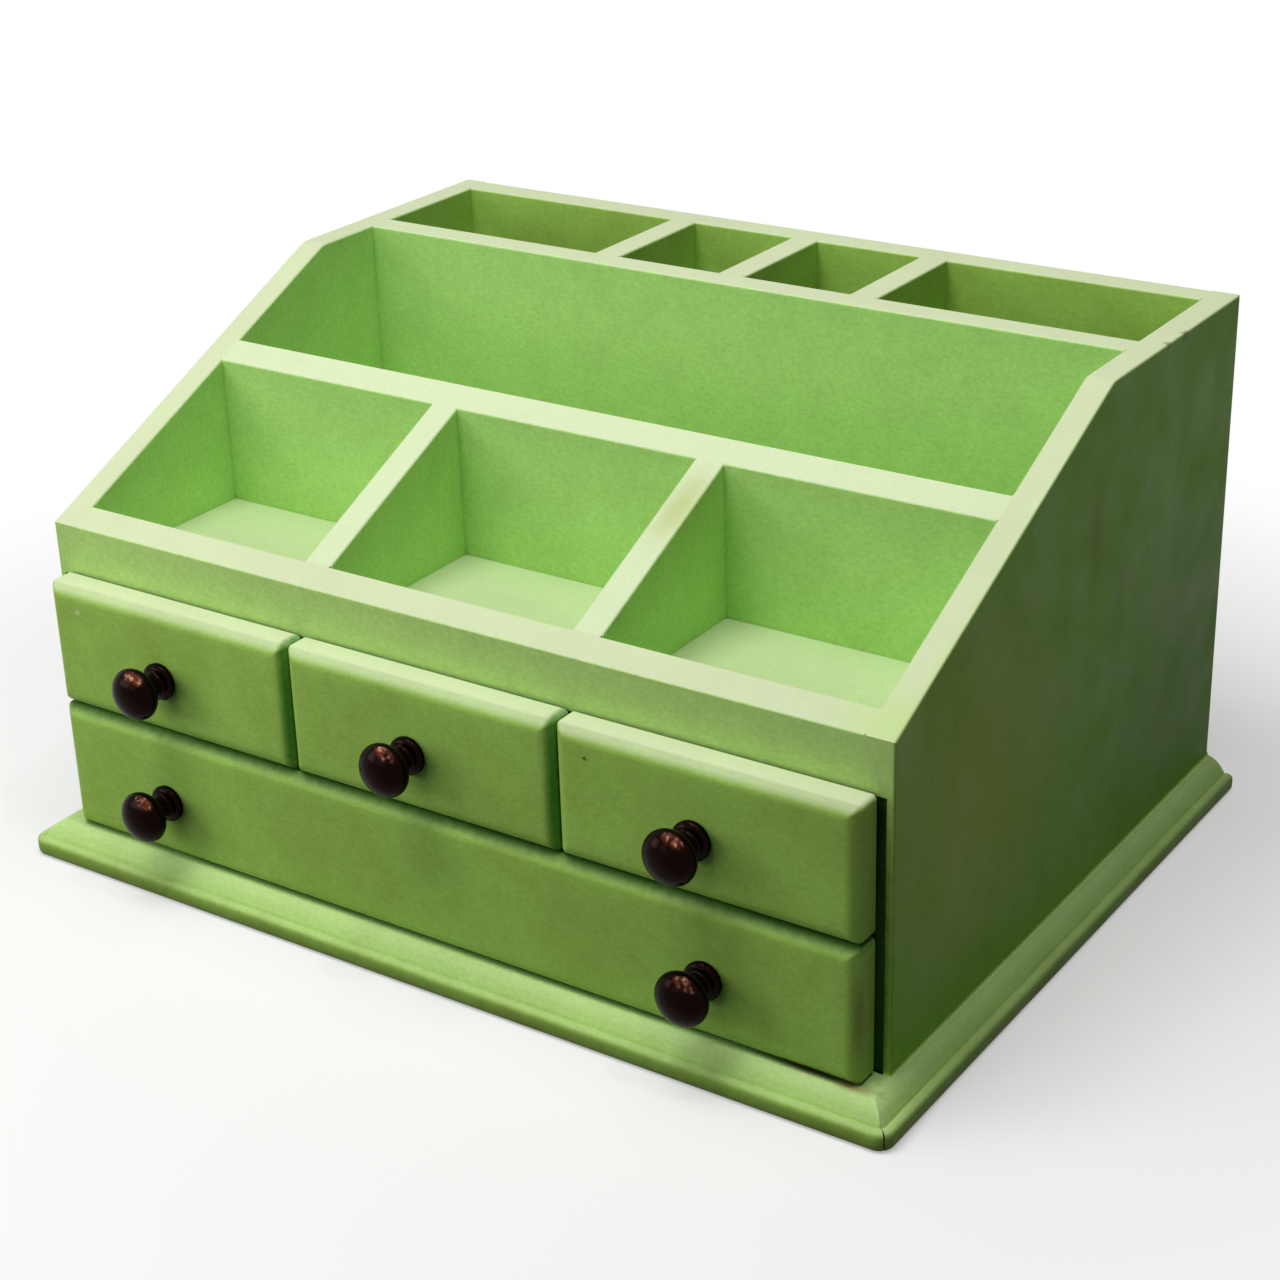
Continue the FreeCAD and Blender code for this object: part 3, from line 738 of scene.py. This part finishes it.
def skin(name, loops, material):
    """A closed mesh over stations of equally many points, with a cap at each end."""
    count = len(loops[0])
    last = (len(loops) - 1) * count
    vertices = [tuple(point) for loop in loops for point in loop]
    faces = [tuple(reversed(range(count))), tuple(range(last, last + count))]
    for i in range(len(loops) - 1):
        for j in range(count):
            k = (j + 1) % count
            faces.append((i * count + j, i * count + k, (i + 1) * count + k, (i + 1) * count + j))
    mesh = bpy.data.meshes.new(name)
    mesh.from_pydata(vertices, [], faces)
    shaper = bmesh.new()
    shaper.from_mesh(mesh)
    bmesh.ops.remove_doubles(shaper, verts=shaper.verts, dist=weld_distance)
    bmesh.ops.recalc_face_normals(shaper, faces=shaper.faces)
    shaper.to_mesh(mesh)
    shaper.free()
    mesh.polygons.foreach_set("use_smooth", [True] * len(mesh.polygons))
    mesh.set_sharp_from_angle(angle=sharp_from)
    mesh.materials.append(material)
    piece = bpy.data.objects.new(name, mesh)
    scene.collection.objects.link(piece)
    return piece


print("outline of a softened corner:", len(soften([(0, 0, 0), (1, 0, 0.2), (1, 1, 0)])), "points")

# %% [markdown]
# ## Drawer fronts, sanded soft
#
# Each drawer front is a thick slab with a bevel planed round its face and then sanded
# by hand. The crease between face and bevel is quite soft, the one between bevel and
# edge is crisper, and the corners are rounded off. The CAD fronts have the right size
# and bevel, so each is replaced by a skin over rounded rectangles that follows the
# same planes with those softer creases.

# %% Soft drawer fronts
bevel_inset = 3.3 * MM
bevel_depth = 3.5 * MM
rear_crease = 0.5 * MM
edge_crease = 0.9 * MM
face_crease = 2.2 * MM
corner_radius = 2.0 * MM
least_radius = 0.8 * MM
rear_flat = 3.0 * MM
face_flat = 9.0 * MM


def soft_front(drawer):
    """A drawer front as rounded rectangles, from its rear round the bevel to its face."""
    low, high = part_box(drawer + "_front")
    x_range, z_range = (low[0], high[0]), (low[2], high[2])
    section = soften([
        (rear_flat, high[1], 0),
        (0, high[1], rear_crease),
        (0, low[1] + bevel_depth, edge_crease),
        (bevel_inset, low[1], face_crease),
        (face_flat, low[1], 0),
    ])
    section.append(Vector((face_flat + 1.0 * MM, low[1])))
    loops = []
    for inset, y in section:
        radius = max(corner_radius - 0.5 * inset, least_radius)
        ring = rounded_rectangle(x_range, z_range, inset, radius)
        loops.append([(x, y, z) for x, z in ring])
    piece = skin(drawer + "_soft_front", loops, front_enamel[drawer])
    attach(piece, drawer)
    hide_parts(drawer + "_front")
    return piece


for drawer in drawers:
    piece = soft_front(drawer)
    print(piece.name, len(piece.data.vertices), "points")

# %% [markdown]
# ## Turned knobs
#
# A knob comes off a lathe, so it is a profile spun about its axis: a flange with a
# rounded rim and a small fillet, a neck, and a flattened ball. The Screw modifier
# spins a profile too, but the rings are quickly worked out, and the skin function
# closes them. Ninety-six steps round keep the outline and the highlights smooth.

# %% Turned knobs
flange_thickness = 3.1 * MM
flange_radius = 7.5 * MM
neck_radius = 4.2 * MM
neck_end = 8.5 * MM
head_middle = 13.97 * MM
rim_softness = 0.9 * MM
centre_dot = 0.2 * MM
steps_round = 96
steps_over_head = 32


def knob_profile(head_radius, head_half):
    """Radius and distance from the drawer front, from the flange to the tip of the head.

    Each corner up to the head also says how far it is softened.
    """
    profile = soften([
        (centre_dot, 0, 0),
        (flange_radius - 0.3 * MM, 0, 0.4 * MM),
        (flange_radius, 0.6 * flange_thickness, rim_softness),
        (flange_radius - 1.2 * MM, flange_thickness, rim_softness),
        (neck_radius + 0.3 * MM, flange_thickness + 0.5 * MM, rim_softness),
        (neck_radius, 0.7 * neck_end, 0.8 * MM),
        (neck_radius + 0.15 * MM, neck_end, 0),
    ])
    start = math.asin(neck_radius / head_radius)
    for k in range(1, steps_over_head + 1):
        angle = start + (math.pi - start) * k / steps_over_head
        along = head_middle - head_half * math.cos(angle)
        profile.append(Vector((max(head_radius * math.sin(angle), centre_dot), along)))
    return profile


def turned_knob(node, body):
    """A knob spun about its axis, in the place and size of its CAD node."""
    low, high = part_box(node)
    axis_x, axis_z = (low[0] + high[0]) / 2, (low[2] + high[2]) / 2
    reach = high[1] - low[1]
    turns = [2 * math.pi * k / steps_round for k in range(steps_round)]
    loops = []
    for radius, distance in knob_profile((high[0] - low[0]) / 2, reach - head_middle):
        y = high[1] - min(distance, reach)
        loops.append([(axis_x + radius * math.cos(t), y, axis_z + radius * math.sin(t)) for t in turns])
    piece = skin("turned_" + node, loops, lacquer)
    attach(piece, body)
    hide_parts(node)
    return piece


for knob in knobs:
    turned_knob(knob, knob.split("_knob")[0])
print("turned knobs:", len(knobs))

# %% [markdown]
# ## The base moulding and its open mitre
#
# Three strips of moulding run round the base board, mitred at the front corners.
# The real mitre at the front right has opened a little at its tip, which is the kind
# of flaw that makes a thing look made. All strips share one section, which is drawn
# here as a few corners: a hollow, a small step and a rounded bead.

# %% Moulding section
moulding_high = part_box("base_moulding_right")[1]
moulding_width = moulding_high[0] - base_high[0]
outer_corner_radius = 6.0 * MM
mitre_gap = 0.7 * MM
gap_sharpness = 4
corner_stretch = 10 * MM
lead_in = 2 * MM

# Distance out from the base board, height, and how far the corner there is softened
moulding_section = soften([
    (0, base_top, 0),
    (1.6 * MM, base_top, 1.0 * MM),
    (5.0 * MM, 11.6 * MM, 3.0 * MM),
    (7.4 * MM, 8.2 * MM, 0.8 * MM),
    (8.0 * MM, 7.2 * MM, 0.4 * MM),
    (8.8 * MM, 7.8 * MM, 0.6 * MM),
    (moulding_width, 7.1 * MM, 2.0 * MM),
    (moulding_width, 0, 2.8 * MM),
    (0, 0, 0),
])
print("moulding section:", len(moulding_section), "points,", round(moulding_width / MM, 1), "mm wide")

# %% [markdown]
# ## The moulding strips
#
# Each strip is that section swept in plan: straight runs, then an arc round the
# corner, ending on the mitre line. A Boolean could cut the mitre, but only straight.
# Here the end draws back from the line towards the bead, so that a dark gap opens,
# and the front left mitre is made like the right one.

# %% Moulding strips
def corner_path(reach, side, steps=10):
    """Plan points of one section point from beside a front corner to its mitre."""
    edge_x, edge_y = base_high[0], base_low[1]
    inside = moulding_width - outer_corner_radius
    points = [Vector((edge_x - corner_stretch, edge_y - reach))]
    if reach <= inside:
        end = Vector((edge_x + reach, edge_y - reach))
        points += [end + Vector((lead_in * (k / steps - 1), 0)) for k in range(steps + 1)]
    else:
        hub = Vector((edge_x + inside, edge_y - inside))
        for k in range(steps + 1):
            angle = math.radians(45 * k / steps)
            points.append(hub + (reach - inside) * Vector((math.sin(angle), -math.cos(angle))))
    draw_back = 0.5 * mitre_gap * (reach / moulding_width) ** gap_sharpness
    points[-1] = points[-1] + Vector((-draw_back, -draw_back)) * math.sqrt(0.5)
    return [Vector((side * p.x, p.y)) for p in points]


def mirror_in_mitre(p, side):
    """The same plan point on the other strip, across the mitre line at 45 degrees."""
    corner = Vector((side * base_high[0], base_low[1]))
    offset = p - corner
    return corner + Vector((-side * offset.y, -side * offset.x))


def front_strip():
    """Sections of the front strip from its left mitre to its right one."""
    right = [corner_path(reach, 1) for reach, _ in moulding_section]
    left = [corner_path(reach, -1) for reach, _ in moulding_section]
    stations = len(right[0])
    plans = [[path[k] for path in left] for k in reversed(range(stations))]
    return plans + [[path[k] for path in right] for k in range(stations)]


def side_strip(side):
    """Sections of a side strip from its mitre to the back."""
    paths = [corner_path(reach, side) for reach, _ in moulding_section]
    stations = len(paths[0])
    plans = [[mirror_in_mitre(path[k], side) for path in paths] for k in reversed(range(stations))]
    plans.append([Vector((side * (base_high[0] + reach), moulding_high[1]))
                  for reach, _ in moulding_section])
    return plans


strips = {"front": front_strip(), "left": side_strip(-1), "right": side_strip(1)}
for name, plans in strips.items():
    loops = [[(p.x, p.y, height) for p, (_, height) in zip(plan, moulding_section)] for plan in plans]
    piece = skin("moulding_strip_" + name, loops, edge_enamel)
    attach(piece, "carcass")
    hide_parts("base_moulding_" + name)
    print(piece.name, len(piece.data.vertices), "points")

# %% [markdown]
# ## Caulk at the foot of the side panels
#
# The painter ran a little caulk along the foot of each side panel, so the wall does
# not meet the base in a sharp line. It is a small concave fillet that starts at the
# front stile, turns the corner and runs to the back. Panel and base are two boards, so
# no bevel can join them, and the fillet is a piece of its own.

# %% Caulk fillets
caulk = 1.7 * MM
hollow = 0.12 * caulk
past_the_stile = 0.5 * MM
corner_steps = 6
caulk_section = soften([(0, caulk, 0), (hollow, hollow, 0.9 * caulk), (caulk, 0, 0)], steps=6)
caulk_section.append(Vector((0, 0)))
for side, name in ((-1, "left"), (1, "right")):
    hub = Vector((side * half_width, carcass_front))
    start_x = side * (inner_half + past_the_stile)
    stations = [[Vector((start_x, carcass_front - reach)) for reach, _ in caulk_section]]
    for k in range(corner_steps + 1):
        angle = math.radians(90 * k / corner_steps)
        outward = Vector((side * math.sin(angle), -math.cos(angle)))
        stations.append([hub + reach * outward for reach, _ in caulk_section])
    stations.append([Vector((side * (half_width + reach), carcass_back)) for reach, _ in caulk_section])
    loops = [[(p.x, p.y, base_top + height) for p, (_, height) in zip(station, caulk_section)]
             for station in stations]
    piece = skin("caulk_fillet_" + name, loops, enamel["y"])
    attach(piece, "carcass")
print("caulk fillets: 2")

# %% [markdown]
# ## Filled joints
#
# Every board has worn, rounded top edges. Where one board butts against another, the
# rounding would leave a notch, but on the real chest filler and paint have closed it,
# and the tops run into each other. So each joint gets a three-sided sliver of
# filler, flush with both tops. Its width follows from the edge radius and the angle
# between the top and the side of the rounded board.

# %% Filler slivers
edge_radius = 0.9 * MM
slope_rise = 71.2 * MM
slope_run = 155.0 * MM
lap = 0.6 * edge_radius
down = Vector((0, 0, -1))
to_the_back = Vector((0, slope_run, slope_rise)).normalized()


def top_at(x, y):
    """The point of the boards' common top surface above x and y."""
    share = min((y - carcass_front) / slope_run, 1.0)
    return Vector((x, y, panel_high[2] - slope_rise * (1 - share)))


def fill_joint(name, start, end, into):
    """A sliver of filler along a rounded edge; into points along the top into the rounded board."""
    reach = edge_radius / math.tan(into.angle(down) / 2)
    loops = [[p, p + into * reach, p + down * reach] for p in (start, end)]
    piece = skin(name, loops, enamel["x"])
    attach(piece, "carcass")


level_back = Vector((0, 1, 0))
dividers = {"tray_divider_left": to_the_back, "tray_divider_right": to_the_back,
            "rear_divider_left": level_back, "rear_divider_middle": level_back,
            "rear_divider_right": level_back}
boards_between_sides = ("front_rail", "middle_partition", "rear_partition", "back_panel")
for divider, back in dividers.items():
    low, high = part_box(divider)
    left, right = low[0] + lap, high[0] - lap
    fill_joint(divider + "_front_filler", top_at(left, low[1]), top_at(right, low[1]), -back)
    fill_joint(divider + "_rear_filler", top_at(left, high[1]), top_at(right, high[1]), back)
for board in boards_between_sides:
    low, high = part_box(board)
    for side, name in ((-1, "left"), (1, "right")):
        front = top_at(side * inner_half, low[1] + lap)
        rear = top_at(side * inner_half, high[1] - lap)
        fill_joint(board + "_" + name + "_filler", front, rear, Vector((side, 0, 0)))
print("filled joints:", 2 * (len(dividers) + len(boards_between_sides)))

# %% [markdown]
# ## A finish for every board
#
# The remaining CAD nodes already have the right shape and get their finish here.
# Brush lines follow the way a painter would go along each board, and the pine of a
# drawer box runs along each of its boards.

# %% Finishes for the CAD nodes
boards_across = (*boards_between_sides, "deck", "base_board", "drawer_shelf", "base_moulding_front")
unpainted = ("drawer_shelf", "bay_divider_left", "bay_divider_right")
for name, node in nodes.items():
    if name.endswith("_screw"):
        finish, slot_name = steel, "screw_steel"
    elif "knob" in name:
        finish, slot_name = lacquer, "dark_stained_wood"
    elif name.endswith("_drawer_front"):
        finish, slot_name = front_enamel[name.removesuffix("_front")], "green_paint"
    elif "_drawer_" in name:
        finish, slot_name = pine["x" if name.endswith("_back") else "y"], "bare_wood"
    elif "side_panel" in name:
        finish, slot_name = enamel["z"], "green_paint"
    else:
        finish = enamel["x" if name in boards_across else "y"]
        slot_name = "bare_wood" if name in unpainted else "green_paint"
    node.data.materials.clear()
    node.data.materials.append(finish)
print("finished nodes:", len(nodes), "materials:", len(bpy.data.materials))

# %% [markdown]
# ## Studio floor and surroundings
#
# The photograph is a cut-out on white. Here the chest stands on white paper. Near the
# chest the paper is lit by the lamps, so it keeps the chest's shadow, and further off
# it fades to plain white. The camera, reflections and light through glass see that
# white. Light that bounces off the paper sees a duller grey, so that the paper
# doesn't flood the lower half of the chest.

# %% White paper and white world
def seen_white(tree):
    """1 for rays from the camera, a reflection or glass, and 0 for bounced light."""
    path = add_node(tree, "ShaderNodeLightPath")
    direct = add_node(tree, "ShaderNodeMath", LARGER,
                      _0=path.outputs["Is Camera Ray"], _1=path.outputs["Is Glossy Ray"])
    return add_node(tree, "ShaderNodeMath", LARGER,
                    _0=direct, _1=path.outputs["Is Transmission Ray"])


def white_paper(name):
    """Paper that is lit near the chest, and plain white further off."""
    material = bpy.data.materials.new(name)
    material.use_nodes = True
    tree = material.node_tree
    tree.nodes.clear()
    place = add_node(tree, "ShaderNodeTexCoord").outputs["Object"]
    distance = add_node(tree, "ShaderNodeVectorMath", {"operation": "LENGTH"}, _0=place).outputs["Value"]
    glow = add_node(tree, "ShaderNodeMapRange", SMOOTH,
                    Value=distance, From_Min=0.26, From_Max=0.5, To_Min=0.4)
    lit = add_node(tree, "ShaderNodeBsdfDiffuse", Color="#F4F4F2")
    plain = add_node(tree, "ShaderNodeEmission", Color="#FFFFFF", Strength=1.0)
    seen = add_node(tree, "ShaderNodeMixShader", _0=glow, _1=lit, _2=plain)
    dull = add_node(tree, "ShaderNodeBsdfDiffuse", Color="#646464")
    mixed = add_node(tree, "ShaderNodeMixShader", _0=seen_white(tree), _1=dull, _2=seen)
    add_node(tree, "ShaderNodeOutputMaterial", Surface=mixed)
    material.cycles.emission_sampling = "NONE"
    return material


floor_half = 6.0
floor_mesh = bpy.data.meshes.new("studio_floor")
floor_mesh.from_pydata([(-floor_half, -floor_half, 0), (floor_half, -floor_half, 0),
                        (floor_half, floor_half, 0), (-floor_half, floor_half, 0)], [], [(0, 1, 2, 3)])
floor_mesh.materials.append(white_paper("studio_paper"))
floor = bpy.data.objects.new("studio_floor", floor_mesh)
scene.collection.objects.link(floor)

world = bpy.data.worlds.new("studio")
scene.world = world
world.use_nodes = True
world.node_tree.nodes.clear()
white_sky = add_node(world.node_tree, "ShaderNodeBackground", Color="#FFFFFF", Strength=1.0)
dull_sky = add_node(world.node_tree, "ShaderNodeBackground", Color="#FFFFFF", Strength=0.03)
sky = add_node(world.node_tree, "ShaderNodeMixShader",
               _0=seen_white(world.node_tree), _1=dull_sky, _2=white_sky)
add_node(world.node_tree, "ShaderNodeOutputWorld", Surface=sky)
print("floor and world ready")

# %% [markdown]
# ## Soft light from above and the left
#
# The shadows in the photograph fall down and a little to the right, the sloping
# boards are bright, the fronts are much darker and the right side is darkest. So the
# main light is a wide soft box high on the left. One overhead and a weaker one high on
# the right fill it in, two small ones low at the front left light the drawer fronts,
# and a tiny one at the right puts a highlight on each knob. All are area lamps, since
# the size of a lamp is what softens its shadows.

# %% Soft boxes
def softbox(name, azimuth, elevation, distance, size, power):
    """Square lamp that looks at the chest. Azimuth 0 is in front and positive to the right."""
    lamp = bpy.data.lights.new(name, "AREA")
    lamp.size = size
    lamp.energy = power
    box = bpy.data.objects.new(name, lamp)
    scene.collection.objects.link(box)
    a, e = math.radians(azimuth), math.radians(elevation)
    out = Vector((math.sin(a) * math.cos(e), -math.cos(a) * math.cos(e), math.sin(e)))
    box.location = Vector((0, 0, 0.1)) + out * distance
    box.rotation_euler = (-out).to_track_quat("-Z", "Y").to_euler()
    box.visible_camera = False
    return box


lamps = [
    softbox("high_left", -30, 68, 1.2, 0.6, 7.3),
    softbox("overhead", 0, 90, 1.2, 0.6, 3.3),
    softbox("high_right", 45, 68, 1.2, 0.6, 2.6),
    softbox("low_front", -15, 15, 1.2, 0.4, 0.8),
    softbox("low_left", -40, 15, 0.75, 0.3, 1.1),
    softbox("catch_light", 65, 72, 1.2, 0.05, 1.0),
]
print("lamps:", len(lamps), "power", round(sum(lamp.data.energy for lamp in lamps), 1), "W")
